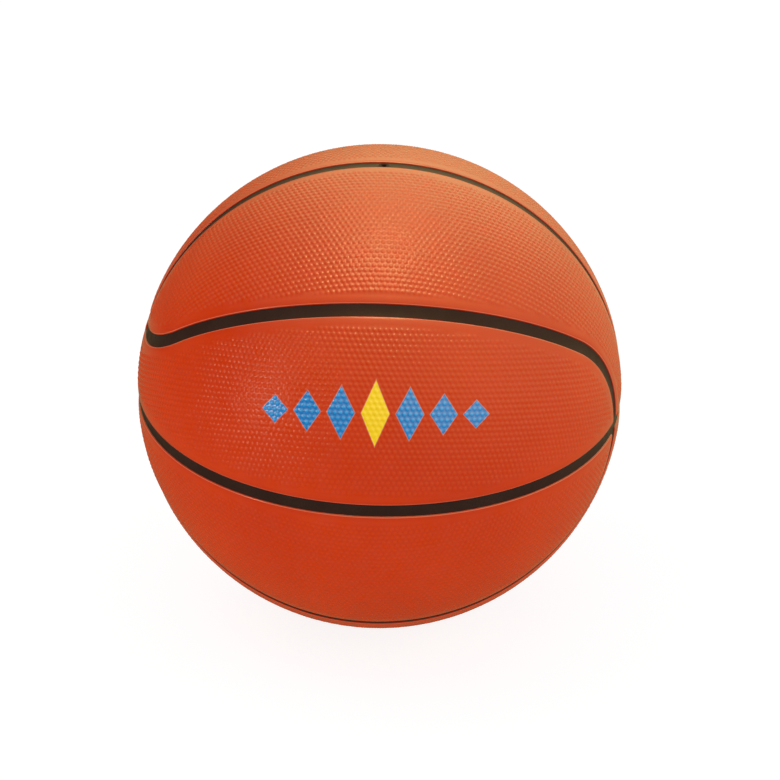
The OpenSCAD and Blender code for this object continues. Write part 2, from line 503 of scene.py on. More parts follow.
@dataclass
class PanelSurface:
    """The reference panel's closed surface, from which all eight are mirrored and turned."""

    layout: SeamLayout
    profile: PanelProfile = PanelProfile()
    pebbles: PebbleField = PebbleField()
    slide_steps: int = 12
    least_slope: float = 0.4

    def __post_init__(self) -> None:
        """Builds the surface."""
        self.chart = PanelChart(self.layout.ball_r)
        self.build()

    def outline(self) -> np.ndarray:
        """Follows the panel's wall once round, at even steps, with sharp corners.

        Returns:
            Unit vectors, anticlockwise seen from outside.
        """
        half = self.layout.half_channel
        end, circle = self.layout.end_centre, self.layout.circle
        high, middle, low = self.layout.curve_arcs()
        level_end = end - math.acos(math.cos(circle - half) / math.cos(half))
        upright_end = end - math.acos(math.cos(circle + half) / math.cos(half))
        corner = math.asin(math.tan(half))
        high_first = math.asin(math.sin(half) / math.sin(circle + half))
        low_last = math.asin(math.sin(half) / math.sin(circle - half))
        beside = math.pi / 2 - half
        edges = [
            Arc(Z_AXIS, -X_AXIS, -Y_AXIS, beside, corner, math.pi - level_end),
            replace(low, radius=circle - half, first_turn=low_last, last_turn=low.first_turn),
            replace(
                middle, radius=beside, first_turn=middle.last_turn, last_turn=middle.first_turn
            ),
            replace(high, radius=circle + half, first_turn=high.last_turn, last_turn=high_first),
            Arc(-Y_AXIS, -X_AXIS, Z_AXIS, beside, upright_end, corner),
        ]
        lines = []
        for arc in edges:
            length = arc.length(arc.radius) * self.layout.ball_r
            count = max(int(length / self.profile.outline_step), self.profile.fewest_steps)
            turns = np.linspace(arc.first_turn, arc.last_turn, count, endpoint=False)
            lines.append(arc.points(np.full(count, arc.radius), turns))
        return np.concatenate(lines)

    def slide(
        self, points: np.ndarray, ways: np.ndarray, goal: float, corner_r: float
    ) -> np.ndarray:
        """Slides points over the sphere until they lie a given distance inside the walls.

        Each step moves a point along its own direction by what it still lacks.

        Args:
            points: Unit vectors to start from.
            ways: Direction of each point's slide.
            goal: Distance inside the walls to reach, in metres.
            corner_r: Radius of the corners of the line to reach.

        Returns:
            The moved unit vectors.
        """
        moved = points
        for _ in range(self.slide_steps):
            distance, grows = self.layout.inside(moved, corner_r)
            slope = np.maximum(np.einsum("ni,ni->n", grows, ways), self.least_slope)
            moved = unit(moved + ((goal - distance) / slope / self.layout.ball_r)[:, None] * ways)
        return moved

    def edge_lines(self) -> ArrayPair:
        """Gives the lines that run round the panel, from the pebbles to the inner face.

        The border sinks as the square of its share of the way to the shoulder.

        Returns:
            Unit vectors, with a line in each row, and each line's depth below the face.
        """
        profile = self.profile
        sharp = self.outline()
        _, ways = self.layout.inside(sharp, profile.border_corner_r)
        insides, depths = profile.levels().T
        walls = [self.slide(sharp, ways, inside, profile.corner_r) for inside in insides]
        first = self.slide(sharp, ways, profile.border_w, profile.border_corner_r)
        shares = profile.border_shares()
        border = [unit((1.0 - share) * first + share * walls[0]) for share in shares]
        return np.stack(border + walls), np.append(profile.border_sink * shares**2, depths)

    def grid(self, rows: PebbleField, corner_r: float, least: float) -> ArrayPair:
        """Gives the places of a grid that lie inside the panel.

        Args:
            rows: Grid on the chart.
            corner_r: Radius of the panel's corners, in metres.
            least: How far inside the walls a place must lie, in metres.

        Returns:
            Places on the chart, and how far each lies inside the walls.
        """
        ball_r = self.layout.ball_r
        places = rows.centres((ball_r * math.pi / 2, ball_r * self.chart.tilt))
        distance, _ = self.layout.inside(self.chart.to_sphere(places), corner_r)
        kept = distance > least
        return places[kept], distance[kept]

    def inner_face(self, ring: np.ndarray, loop: np.ndarray) -> ArrayPair:
        """Closes the panel below with wide triangles, which point inwards.

        Args:
            ring: Unit vectors of the wall's lower edge.
            loop: Indices of the edge's points, the last ones so far.

        Returns:
            Unit vectors of the new points, and the triangles.
        """
        step = self.profile.inner_step
        rows = PebbleField(pitch=step, row_pitch=step)
        places, _ = self.grid(rows, self.profile.corner_r, step / 2)
        joined = fill(
            np.concatenate([self.chart.from_sphere(ring), places]), [np.arange(len(ring))]
        )
        index = np.append(loop, loop[-1] + 1 + np.arange(len(places)))
        return self.chart.to_sphere(places), index[joined][:, ::-1]

    def build(self) -> None:
        """Builds the face, border, shoulder, wall and inner face as one closed surface."""
        ball_r, profile, pebbles = self.layout.ball_r, self.profile, self.pebbles
        centres, distance = self.grid(pebbles, profile.border_corner_r, pebbles.starts)
        places, heights = pebbles.domes(centres, distance, np.cos(centres[:, 1] / ball_r))
        lines, depths = self.edge_lines()
        loops = len(places) + np.arange(lines[..., 0].size).reshape(lines.shape[:2])
        face = fill(np.concatenate([places, self.chart.from_sphere(lines[0])]), [loops[0]])
        bands = [band(upper, lower) for upper, lower in zip(loops, loops[1:])]
        inner_points, inner = self.inner_face(lines[-1], loops[-1])
        ways = np.concatenate([self.chart.to_sphere(places), *lines, inner_points])
        relief = np.concatenate([
            heights,
            np.repeat(-depths, lines.shape[1]),
            np.full(len(inner_points), -profile.thickness),
        ])
        self.points = ways * (ball_r + relief)[:, None]
        self.faces = np.concatenate([face, *bands, inner])
        self.places = self.chart.from_sphere(ways)
        self.relief = relief / MM


@dataclass(frozen=True)
class Placing:
    """How one panel or strip of the ball is turned or mirrored from the reference one."""

    name: str
    swapped: bool
    below: bool
    behind: bool

    def matrix(self) -> np.ndarray:
        """Gives the turn: the half turn that swaps a quarter's two panels, then the mirrors."""
        swap = np.array([[-1.0, 0.0, 0.0], [0.0, 0.0, -1.0], [0.0, -1.0, 0.0]])
        turn = swap if self.swapped else np.eye(3)
        mirror = np.diag([1.0, -1.0 if self.behind else 1.0, -1.0 if self.below else 1.0])
        return mirror @ turn

    def place(self, points: np.ndarray, faces: np.ndarray) -> ArrayPair:
        """Places points, and turns faces round where the placing is a mirror image.

        Args:
            points: Points of the reference shape.
            faces: Indices of each face's points.

        Returns:
            The placed points and the faces.
        """
        matrix = self.matrix()
        mirrored = np.linalg.det(matrix) < 0.0
        return points @ matrix.T, faces[:, ::-1] if mirrored else faces


PANELS = (
    Placing("panel_front_upper", False, False, False),
    Placing("panel_front_lower", False, True, False),
    Placing("panel_back_upper", False, False, True),
    Placing("panel_back_lower", False, True, True),
    Placing("panel_top_front", True, False, False),
    Placing("panel_top_back", True, False, True),
    Placing("panel_bottom_front", True, True, False),
    Placing("panel_bottom_back", True, True, True),
)

CURVE_STRIPS = (
    Placing("strip_curve_front_upper", False, False, False),
    Placing("strip_curve_front_lower", False, True, False),
    Placing("strip_curve_back_upper", False, False, True),
    Placing("strip_curve_back_lower", False, True, True),
)


@dataclass(frozen=True)
class Mottle:
    """Cloudy noise of a finish, with so many waves to the metre and finer ones by its detail.

    Its values from low to high become to_low to to_high.
    """

    waves: float
    detail: float = 2.0
    low: float = 0.3
    high: float = 0.7
    to_low: float = 0.0
    to_high: float = 1.0


class Graph:
    """Node tree of one material, with one short call for each node that it needs."""

    def __init__(self, name: str, tree: bpy.types.NodeTree | None = None) -> None:
        """Starts a material of that name with a Principled shader and an output.

        Args:
            name: Name of the material.
            tree: Node tree to fill in its stead, emptied first.
        """
        if tree:
            self.tree = tree
            self.tree.nodes.clear()
            return
        self.material = bpy.data.materials.new(name)
        self.material.use_nodes = True
        self.tree = self.material.node_tree
        self.tree.nodes.clear()
        self.output = self.tree.nodes.new("ShaderNodeOutputMaterial")
        self.shader = self.tree.nodes.new("ShaderNodeBsdfPrincipled")
        self.tree.links.new(self.shader.outputs[0], self.output.inputs["Surface"])

    def feed(self, socket: Socket, value: object) -> None:
        """Links a socket to another, or sets its value."""
        if isinstance(value, Socket):
            self.tree.links.new(value, socket)
        else:
            socket.default_value = value

    def node(self, kind: str, inputs: dict | None = None, **settings: object) -> bpy.types.Node:
        """Adds a node.

        Args:
            kind: Blender's name of the node, without ShaderNode.
            inputs: What each input, by name or number, is linked or set to.
            **settings: Properties of the node.

        Returns:
            The new node.
        """
        made = self.tree.nodes.new("ShaderNode" + kind)
        for key, value in settings.items():
            setattr(made, key, value)
        for key, value in (inputs or {}).items():
            self.feed(made.inputs[key], value)
        return made

    def object_place(self) -> Socket:
        """Gives the place in metres on the piece itself."""
        return self.node("TexCoord").outputs["Object"]

    def noise(self, waves: float, detail: float = 2.0, roughness: float = 0.5) -> Socket:
        """Gives cloudy noise, from 0 to 1.

        Args:
            waves: Number of waves to the metre.
            detail: Number of finer layers on them.
            roughness: Strength of the finer layers.

        Returns:
            The noise.
        """
        inputs = {"Scale": waves, "Detail": detail, "Roughness": roughness}
        return self.node("TexNoise", {"Vector": self.object_place(), **inputs}).outputs["Fac"]

    def mottle(self, cloud: Mottle) -> Socket:
        """Gives cloudy noise with the spread that a finish asks for."""
        noise = self.noise(cloud.waves, cloud.detail)
        return self.spread(noise, cloud.low, cloud.high, cloud.to_low, cloud.to_high)

    def spread(
        self, value: object, low: float, high: float, to_low: float = 0.0, to_high: float = 1.0
    ) -> Socket:
        """Maps the values from low to high onto to_low to to_high, and clamps the rest."""
        ends = {"From Min": low, "From Max": high, "To Min": to_low, "To Max": to_high}
        return self.node("MapRange", {"Value": value, **ends}).outputs["Result"]

    def ease(self, value: object, low: float, high: float) -> Socket:
        """Rises smoothly from 0 at low to 1 at high, which may lie on either side of it."""
        inputs = {"Value": value, "From Min": low, "From Max": high}
        return self.node("MapRange", inputs, interpolation_type="SMOOTHSTEP").outputs["Result"]

    def dot(self, value: object, way: tuple[float, float, float]) -> Socket:
        """Gives a vector's share along a fixed way."""
        made = self.node("VectorMath", {0: value, 1: way}, operation="DOT_PRODUCT")
        return made.outputs["Value"]

    def maths(self, operation: str, *values: object) -> Socket:
        """Adds one sum on numbers."""
        return self.node("Math", dict(enumerate(values)), operation=operation).outputs[0]

    def blend(self, share: object, first: object, second: object) -> Socket:
        """Mixes two numbers."""
        return self.node("Mix", {0: share, 2: first, 3: second}, data_type="FLOAT").outputs[0]

    def mix(self, share: object, first: object, second: object) -> Socket:
        """Mixes two colours."""
        made = self.node("Mix", data_type="RGBA")
        for key, value in {"Factor": share, 6: first, 7: second}.items():
            self.feed(made.inputs[key], value)
        return made.outputs[2]

    def bump(self, height: object, distance: float, strength: float) -> Socket:
        """Turns a height into a bumped normal, with the distance in metres."""
        made = self.node("Bump", {"Height": height, "Distance": distance, "Strength": strength})
        return made.outputs["Normal"]

    def finish(self, **sockets: object) -> bpy.types.Material:
        """Sets or links the shader's own sockets, named with underscores for spaces."""
        for key, value in sockets.items():
            self.feed(self.shader.inputs[key.replace("_", " ")], value)
        return self.material


def colour(red: int, green: int, blue: int) -> Colour:
    """Turns a display colour, 0 to 255, into the linear one that shaders take."""
    shares = np.array([red, green, blue]) / 255.0
    linear = np.where(shares <= 0.04045, shares / 12.92, ((shares + 0.055) / 1.055) ** 2.4)
    return (float(linear[0]), float(linear[1]), float(linear[2]), 1.0)


@dataclass(frozen=True)
class Ink:
    """Sockets that say where a print's ink lies, from 0 to 1."""

    share: Socket
    edge: Socket
    middle: Socket


@dataclass(frozen=True)
class PrintedMotif:
    """A row of lozenges printed on one panel, tallest in the middle, with thin pale edges.

    The ink is glossy, with the given roughness and index of refraction. Its blue is darker in
    the valleys than on the pebbles, partly thicker ink and partly painted shade and highlight,
    between the two heights given for it, which are in millimetres. In patches a small share of
    it, given by thin, is mixed with thin_share of the pale colour.
    """

    lozenges: int = 7
    gap: float = 15.5 * MM
    half_w: float = 6.4 * MM
    half_h: float = 15.0 * MM
    shrink_share: float = 0.19
    edge_w: float = 0.35 * MM
    edge_share: float = 0.4
    roughness: float = 0.12
    gloss: float = 1.7
    blue: Colour = colour(14, 158, 228)
    # Darker blue of the valleys: partly thicker ink, partly painted shade.
    thick_and_shaded_blue: Colour = colour(0, 121, 197)
    yellow: Colour = colour(255, 214, 0)
    pale: Colour = colour(222, 170, 140)
    thick_and_shade_heights: tuple[float, float] = (-0.02, 0.18)
    thin: Mottle = Mottle(700.0, 3.0, 0.45, 0.75, 0.0, 0.05)
    thin_share: float = 0.5


@dataclass(frozen=True)
class CoverRubber:
    """Orange rubber of the cover, satin, with the channels' black run up its walls.

    Heights are in millimetres above the smooth surface. Each tint has the height where it
    begins and the height where it is full, and three of them the shares of colour there:
    the painted shade in the valleys, the wear on the pebbles' crowns, and the painted shade
    deep on the walls, then the black of the walls. The paler line along the shoulder, partly
    the wear that hands rub there and partly a painted highlight, begins, is strongest and
    ends at the three heights given for it.
    """

    # Deeper orange of the cloudy tone, and of the painted shade in the valleys.
    deep: Colour = colour(192, 46, 7)
    body: Colour = colour(209, 59, 8)
    worn: Colour = colour(220, 70, 14)
    # Pale line on the shoulder: partly rubbed wear, partly a painted highlight.
    rubbed_and_highlight: Colour = colour(232, 142, 112)
    # Painted shade: dark red where the walls sink into the channel.
    wall_shade: Colour = colour(128, 30, 12)
    black: Colour = colour(36, 24, 20)
    roughness: float = 0.195
    gloss: float = 0.45
    valley_shade_tint: tuple[float, ...] = (0.0, -0.10, 0.0, 0.3)
    crown_tint: tuple[float, ...] = (0.05, 0.22, 0.0, 0.35)
    wall_shade_tint: tuple[float, ...] = (-0.42, -0.75, 0.0, 0.8)
    black_tint: tuple[float, ...] = (-0.74, -0.98)
    rubbed_and_highlight_line: tuple[float, float, float] = (-0.24, -0.30, -0.40)
    rubbed_and_highlight_share: float = 0.7
    clouds: Mottle = Mottle(22.0, 3.0, 0.35, 0.65, 0.0, 0.35)
    specks: Mottle = Mottle(900.0)
    patches: Mottle = Mottle(140.0, 3.0, to_low=-0.05, to_high=0.05)
    wobble: Mottle = Mottle(500.0, to_low=-0.06, to_high=0.06)
    grain: tuple[float, float, float] = (2600.0, 3.0, 0.6)
    dents: float = 420.0
    dent_weight: float = 2.0
    bump: tuple[float, float] = (0.02 * MM, 0.25)

    def material(self, motif: PrintedMotif | None = None) -> bpy.types.Material:
        """Builds the finish.

        Args:
            motif: What is printed on the panel, if anything.

        Returns:
            The material.
        """
        graph = Graph("cover_rubber_printed" if motif else "cover_rubber")
        relief = graph.node("Attribute", attribute_name="relief").outputs["Fac"]
        base = graph.mix(graph.mottle(self.clouds), self.body, self.deep)
        # Painted shade: the valleys between the pebbles are mixed towards the deeper orange.
        base = graph.mix(graph.spread(relief, *self.valley_shade_tint), base, self.deep)
        crown = graph.spread(relief, *self.crown_tint)
        crown = graph.maths("MULTIPLY", crown, graph.mottle(self.specks))
        base = graph.mix(crown, base, self.worn)
        if motif:
            ink = self.ink(graph, motif)
            base = self.printed(graph, motif, base, relief, ink)
            graph.finish(
                Coat_Weight=ink.share,
                Coat_Roughness=motif.roughness,
                Coat_IOR=motif.gloss,
            )
        # Painted highlight, partly rubbed wear: a pale line mixed in along the shoulder's crest.
        begins, strongest, ends = self.rubbed_and_highlight_line
        shoulder = graph.maths(
            "MULTIPLY", graph.ease(relief, begins, strongest), graph.ease(relief, ends, strongest)
        )
        base = graph.mix(graph.maths("MULTIPLY", shoulder, self.rubbed_and_highlight_share), base, self.rubbed_and_highlight)
        height = graph.maths("ADD", relief, graph.mottle(self.wobble))
        # Painted shade: the walls darken towards dark red as they sink into the channel, before the
        # black.
        base = graph.mix(graph.spread(height, *self.wall_shade_tint), base, self.wall_shade)
        base = graph.mix(graph.spread(height, *self.black_tint), base, self.black)
        dents = graph.maths("MULTIPLY", graph.noise(self.dents), self.dent_weight)
        texture = graph.maths("ADD", graph.noise(*self.grain), dents)
        return graph.finish(
            Base_Color=base,
            Roughness=graph.maths("ADD", graph.mottle(self.patches), self.roughness),
            Specular_IOR_Level=self.gloss,
            Normal=graph.bump(texture, *self.bump),
        )

    def ink(self, graph: Graph, motif: PrintedMotif) -> Ink:
        """Works out where the motif's ink lies.

        On the chart, a lozenge is where the share of its half width along plus the share of
        its half height across is below one. The lozenges stand side by side, and their
        heights fall off with the distance from the middle one.

        Args:
            graph: Node tree of the finish.
            motif: Sizes and inks.

        Returns:
            The ink's coverage, its thin edge and where the middle lozenge is.
        """
        chart = graph.node("UVMap", uv_map="chart").outputs["UV"]
        parts = graph.node("SeparateXYZ", {"Vector": chart})
        along, across = parts.outputs["X"], parts.outputs["Y"]
        cell = graph.maths("ROUND", graph.maths("DIVIDE", along, motif.gap))
        apart = graph.maths("SUBTRACT", along, graph.maths("MULTIPLY", cell, motif.gap))
        count = graph.maths("ABSOLUTE", cell)
        low = graph.maths("SUBTRACT", 1.0, graph.maths("MULTIPLY", count, motif.shrink_share))
        high = graph.maths("MULTIPLY", low, motif.half_h)
        share = graph.maths(
            "ADD",
            graph.maths("DIVIDE", graph.maths("ABSOLUTE", apart), motif.half_w),
            graph.maths("DIVIDE", graph.maths("ABSOLUTE", across), high),
        )
        within = graph.maths("LESS_THAN", count, motif.lozenges / 2)
        soft = motif.edge_w / motif.half_w
        inside = graph.spread(share, 1.0, 1.0 - soft / 2)
        edge = graph.spread(share, 1.0 + soft, 1.0 + soft / 2)
        return Ink(
            share=graph.maths("MULTIPLY", inside, within),
            edge=graph.maths("MULTIPLY", edge, within),
            middle=graph.maths("LESS_THAN", count, 0.5),
        )

    def printed(
        self, graph: Graph, motif: PrintedMotif, base: object, relief: object, ink: Ink
    ) -> Socket:
        """Prints the motif over the rubber.

        Args:
            graph: Node tree of the finish.
            motif: Sizes and inks.
            base: Colour of the rubber.
            relief: Height above the smooth surface, in millimetres.
            ink: Where the ink lies.

        Returns:
            The colour with the print.
        """
        # Painted shade and highlight, partly thicker ink: the blue is darker in the valleys than on
        # the pebbles' tops.
        raised = graph.spread(relief, *motif.thick_and_shade_heights)
        tone = graph.mix(ink.middle, graph.mix(raised, motif.thick_and_shaded_blue, motif.blue), motif.yellow)
        faded = graph.mix(motif.thin_share, tone, motif.pale)
        tone = graph.mix(graph.mottle(motif.thin), tone, faded)
        edge = graph.maths("MULTIPLY", ink.edge, motif.edge_share)
        return graph.mix(ink.share, graph.mix(edge, base, motif.pale), tone)


@dataclass(frozen=True)
class ChannelRubber:
    """Black rubber of the strips, with a brown cast, dust in patches and fine mould marks."""

    black: Colour = colour(50, 32, 26)
    dusty: Colour = colour(60, 42, 34)
    dust_clouds: Mottle = Mottle(60.0, 4.0, 0.4)
    dust_specks: Mottle = Mottle(1500.0, low=0.35)
    roughness: Mottle = Mottle(200.0, 3.0, to_low=0.32, to_high=0.46)
    gloss: float = 0.08
    marks: tuple[float, float] = (1800.0, 3.0)
    dents: float = 350.0
    bump: tuple[float, float] = (0.03 * MM, 0.5)

    def material(self) -> bpy.types.Material:
        """Builds the finish."""
        graph = Graph("channel_rubber")
        clouds, specks = graph.mottle(self.dust_clouds), graph.mottle(self.dust_specks)
        height = graph.maths("ADD", graph.noise(*self.marks), graph.noise(self.dents))
        return graph.finish(
            Base_Color=graph.mix(graph.maths("MULTIPLY", clouds, specks), self.black, self.dusty),
            Roughness=graph.mottle(self.roughness),
            Specular_IOR_Level=self.gloss,
            Normal=graph.bump(height, *self.bump),
        )


@dataclass(frozen=True)
class PlainRubber:
    """Moulded rubber of one of the inner pieces or of the valve, with a chalky bloom."""

    name: str
    tone: Colour
    chalky: Colour
    roughness: float
    gloss: float = 0.3
    bloom: Mottle = Mottle(45.0, 4.0, 0.45, 0.75)
    patches: Mottle = Mottle(150.0, to_low=-0.07, to_high=0.07)
    marks: tuple[float, float] = (1200.0, 3.0)
    bump: tuple[float, float] = (0.04 * MM, 0.5)

    def material(self) -> bpy.types.Material:
        """Builds the finish: a chalky bloom in patches over the plain colour."""
        graph = Graph(self.name)
        return graph.finish(
            Base_Color=graph.mix(graph.mottle(self.bloom), self.tone, self.chalky),
            Roughness=graph.maths("ADD", graph.mottle(self.patches), self.roughness),
            Specular_IOR_Level=self.gloss,
            Normal=graph.bump(graph.noise(*self.marks), *self.bump),
        )


@dataclass(frozen=True)
class WoundYarn:
    """Yarn wound round the bladder in three crossing ways and set in rubber."""

    yarn: Colour = colour(214, 210, 196)
    gum: Colour = colour(120, 104, 78)
    turns_to_metre: float = 420.0
    tilts: tuple[float, ...] = (0.3, 1.4, 2.5)
    distortion: float = 1.5
    detail: float = 1.0
    shown: tuple[float, float] = (0.5, 0.95)
    roughness: tuple[float, float] = (0.6, 0.8)
    bump: tuple[float, float] = (0.15 * MM, 0.8)

    def material(self) -> bpy.types.Material:
        """Builds the finish: three sets of bands, the highest of which shows."""
        graph = Graph("wound_yarn")
        place = graph.object_place()
        scale = self.turns_to_metre / 2
        wave = {"Scale": scale, "Distortion": self.distortion, "Detail": self.detail}
        height = 0.0
        for index, tilt in enumerate(self.tilts):
            turn = {"Vector": place, "Rotation": (tilt, tilt / 2, tilt + index)}
            turned = graph.node("Mapping", turn).outputs[0]
            bands = graph.node("TexWave", {"Vector": turned, **wave}, wave_type="BANDS")
            height = graph.maths("MAXIMUM", height, bands.outputs["Fac"])
        return graph.finish(
            Base_Color=graph.mix(graph.spread(height, *self.shown), self.gum, self.yarn),
            Roughness=graph.spread(height, 0.0, 1.0, *self.roughness),
            Normal=graph.bump(height, *self.bump),
        )


def dress(piece: bpy.types.Object, material: bpy.types.Material) -> None:
    """Gives a piece or a CAD node its material."""
    piece.data.materials.clear()
    piece.data.materials.append(material)


@dataclass
class Cover:
    """The eight pebbled panels, each in the place of its CAD node."""

    layout: SeamLayout
    rubber: CoverRubber = CoverRubber()
    motif: PrintedMotif = PrintedMotif()
    printed_panel: str = "panel_front_upper"

    def build(self) -> list[bpy.types.Object]:
        """Builds and dresses the panels.

        Returns:
            The eight pieces.
        """
        surface = PanelSurface(self.layout)
        plain = self.rubber.material()
        printed = self.rubber.material(self.motif)
        pieces = []
        for placing in PANELS:
            points, faces = placing.place(surface.points, surface.faces)
            name = placing.name + "_pebbled"
            piece = make_piece(name, points, faces, surface.places, surface.relief)
            material = printed if placing.name == self.printed_panel else plain
            dress(piece, material)
            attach(piece, ROOT)
            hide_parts(placing.name)
            pieces.append(piece)
        return pieces


@dataclass
class Channels:
    """The seven black strips. Their floor is a shallow hollow that follows every seam."""

    layout: SeamLayout
    rubber: ChannelRubber = ChannelRubber()
    floor_r: float = 118.6 * MM
    bed_r: float = 117.9 * MM
    hollow: float = 0.22 * MM
    across_steps: int = 12
    along_step: float = 1.2 * MM
    neck_r: float = 2.6 * MM
    neck_points: int = 32
    collar: float = 1.2 * MM

    def offsets(self) -> np.ndarray:
        """Gives the angles across a channel, from wall to wall, as one row."""
        return np.linspace(-1.0, 1.0, self.across_steps + 1)[None, :] * self.layout.half_channel

    def steps(self, length: float) -> int:
        """Gives how many steps along a channel make up a length in metres."""
        return int(length / self.along_step)

    def from_neck(self, ways: np.ndarray) -> np.ndarray:
        """Measures from the wall of the neck's hole. The lower half is endlessly far off.

        Args:
            ways: Unit vectors, one in each row.

        Returns:
            Distances in metres.
        """
        away = np.hypot(ways[:, 0], ways[:, 1]) * self.floor_r - self.neck_r
        return np.where(ways[:, 2] > 0.0, away, np.inf)

    def floor(self, ways: np.ndarray) -> np.ndarray:
        """Gives the channel's floor: lowest on the seams' centre lines, level at the valve.

        The depth below the floor's radius is the hollow times one less the square of the
        share of the way from the nearest seam's centre line to the wall.

        Args:
            ways: Unit vectors, one in each row.

        Returns:
            Points of the floor, in metres.
        """
        away = self.layout.to_nearest_seam(ways)
        share = np.clip(away / (self.layout.channel_w / 2), 0.0, 1.0)
        depth = self.hollow * (1.0 - share**2) * smooth_step(self.from_neck(ways) / self.collar)
        return ways * (self.floor_r - depth)[:, None]

    def strip(self, ways: np.ndarray, closed: bool) -> ArrayPair:
        """Turns a strip of directions into a closed bar of rubber.

        The upper side is the channel's floor, and the lower side lies on the carcass.

        Args:
            ways: Unit vectors, with the way along first and the way across second.
            closed: Whether the strip runs on into its own beginning.

        Returns:
            Points and four-cornered faces.
        """
        long, wide, _ = ways.shape
        top = self.floor(ways.reshape(-1, 3)).reshape(ways.shape)
        ring = np.concatenate([top, ways[:, ::-1] * self.bed_r], axis=1)
        index = np.arange(ring[..., 0].size).reshape(ring.shape[:2])
        ahead = np.roll(index, -1, axis=0)
        if not closed:
            index, ahead = index[:-1], ahead[:-1]
        sides = [index, np.roll(index, -1, axis=1), np.roll(ahead, -1, axis=1), ahead]
        faces = np.stack(sides, axis=-1).reshape(-1, 4)
        if not closed:
            faces = np.concatenate([faces, self.end_caps(long, wide)])
        return ring.reshape(-1, 3), faces

    def end_caps(self, long: int, wide: int) -> np.ndarray:
        """Closes both ends of an open strip between its upper and lower side.

        Args:
            long: Number of points along the strip.
            wide: Number of points across it.

        Returns:
            Four-cornered faces.
        """
        around = wide * 2
        up = np.arange(wide - 1)
        down = around - 1 - up
        first = np.stack([up, down, down - 1, up + 1], axis=1)
        last = first[:, ::-1] + (long - 1) * around
        return np.concatenate([first, last])

    def pierced_strip(self, ways: np.ndarray) -> ArrayPair:
        """Turns the upper strip of directions into a closed bar with a hole for the neck.

        Points less than a quarter of the collar from the hole make room for the hole's own.
        The triangles that fill the hole are dropped.

        Args:
            ways: Unit vectors, with the way along first and the way across second.

        Returns:
            Points and triangles.
        """
        index = np.arange(ways[..., 0].size).reshape(ways.shape[:2])
        rim = np.concatenate([index[0], index[1:-1, -1], index[-1, ::-1], index[-2:0:-1, 0]])
        flat = ways.reshape(-1, 3)
        clear = self.from_neck(flat) > self.collar / 4
        clear[rim] = True
        rim = (np.cumsum(clear) - 1)[rim]
        turn = np.linspace(0.0, 2 * math.pi, self.neck_points, endpoint=False)
        around = np.stack([np.cos(turn), np.sin(turn)], axis=1) * self.neck_r / self.floor_r
        height = np.sqrt(1.0 - np.sum(around**2, axis=1, keepdims=True))
        points = np.concatenate([flat[clear], np.append(around, height, axis=1)])
        x, y, z = points.T
        chart = self.layout.ball_r * np.stack([np.arctan2(x, z), np.arcsin(y)], axis=1)
        count = len(points)
        hole = np.arange(count - self.neck_points, count)
        triangles = fill(chart, [rim, hole])
        middles = chart[triangles].mean(axis=1)
        triangles = triangles[np.hypot(middles[:, 0], middles[:, 1]) > self.neck_r]
        walls = [band(loop, loop + count) for loop in (rim, hole[::-1])]
        points = np.concatenate([self.floor(points), points * self.bed_r])
        return points, np.concatenate([triangles, triangles[:, ::-1] + count, *walls])

    def level_ways(self) -> np.ndarray:
        """Gives the directions of the ring: turns about Z, and angles from the level plane."""
        count = self.steps(2 * math.pi * self.layout.ball_r)
        turn = np.linspace(0.0, 2 * math.pi, count, endpoint=False)[:, None]
        turn, tilt = np.broadcast_arrays(turn, self.offsets())
        ways = [np.cos(tilt) * np.cos(turn), np.cos(tilt) * np.sin(turn), np.sin(tilt)]
        return np.stack(ways, axis=-1)[:, ::-1]

    def upright_ways(self, below: bool) -> np.ndarray:
        """Gives the directions of an upright half ring.

        It runs over the top from one edge of the level ring to its other edge, and the
        lower half ring is the upper one turned about X.

        Args:
            below: Whether it is the lower one.

        Returns:
            Unit vectors, with the way along first and the way across second.
        """
        tilt = self.offsets()
        first = np.arcsin(np.clip(math.sin(self.layout.half_channel) / np.cos(tilt), 0.0, 1.0))
        share = np.linspace(0.0, 1.0, self.steps(math.pi * self.layout.ball_r))[:, None]
        turn, tilt = np.broadcast_arrays(first + share * (math.pi - 2.0 * first), tilt)
        ways = [np.cos(tilt) * np.cos(turn), -np.sin(tilt), np.cos(tilt) * np.sin(turn)]
        side = -1.0 if below else 1.0
        return np.stack(ways, axis=-1) * np.array([1.0, side, side])

    def curve_ways(self) -> np.ndarray:
        """Gives the directions of the curved strip.

        It runs from the upright strip's edge to the level ring's, so the first and last
        arc begin and end where the sine of the turn is that of half the channel over that
        of the circle's radius.

        Returns:
            Unit vectors, with the way along first and the way across second.
        """
        arcs = self.layout.curve_arcs()
        parts = []
        for arc in arcs:
            radius = arc.radius + arc.grows * self.offsets()
            at_edge = np.arcsin(math.sin(self.layout.half_channel) / np.sin(radius))
            first = at_edge if arc is arcs[0] else arc.first_turn
            last = at_edge if arc is arcs[-1] else arc.last_turn
            length = arc.length(radius[0, 0]) * self.layout.ball_r
            share = np.linspace(0.0, 1.0, self.steps(length) + 1)[:, None]
            share = share if arc is arcs[-1] else share[:-1]
            turns, radius = np.broadcast_arrays(first + share * (last - first), radius)
            parts.append(arc.points(radius, turns))
        return np.concatenate(parts)

    def build(self) -> list[bpy.types.Object]:
        """Builds and dresses the strips.

        Returns:
            The seven pieces.
        """
        material = self.rubber.material()
        curve = self.strip(self.curve_ways(), False)
        shapes = {
            "strip_level": self.strip(self.level_ways(), True),
            "strip_upright_top": self.pierced_strip(self.upright_ways(False)),
            "strip_upright_bottom": self.strip(self.upright_ways(True), False),
            **{placing.name: placing.place(*curve) for placing in CURVE_STRIPS},
        }
        pieces = []
        for name, (points, faces) in shapes.items():
            piece = make_piece(name + "_hollowed", points, faces)
            dress(piece, material)
            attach(piece, ROOT)
            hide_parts(name)
            pieces.append(piece)
        return pieces


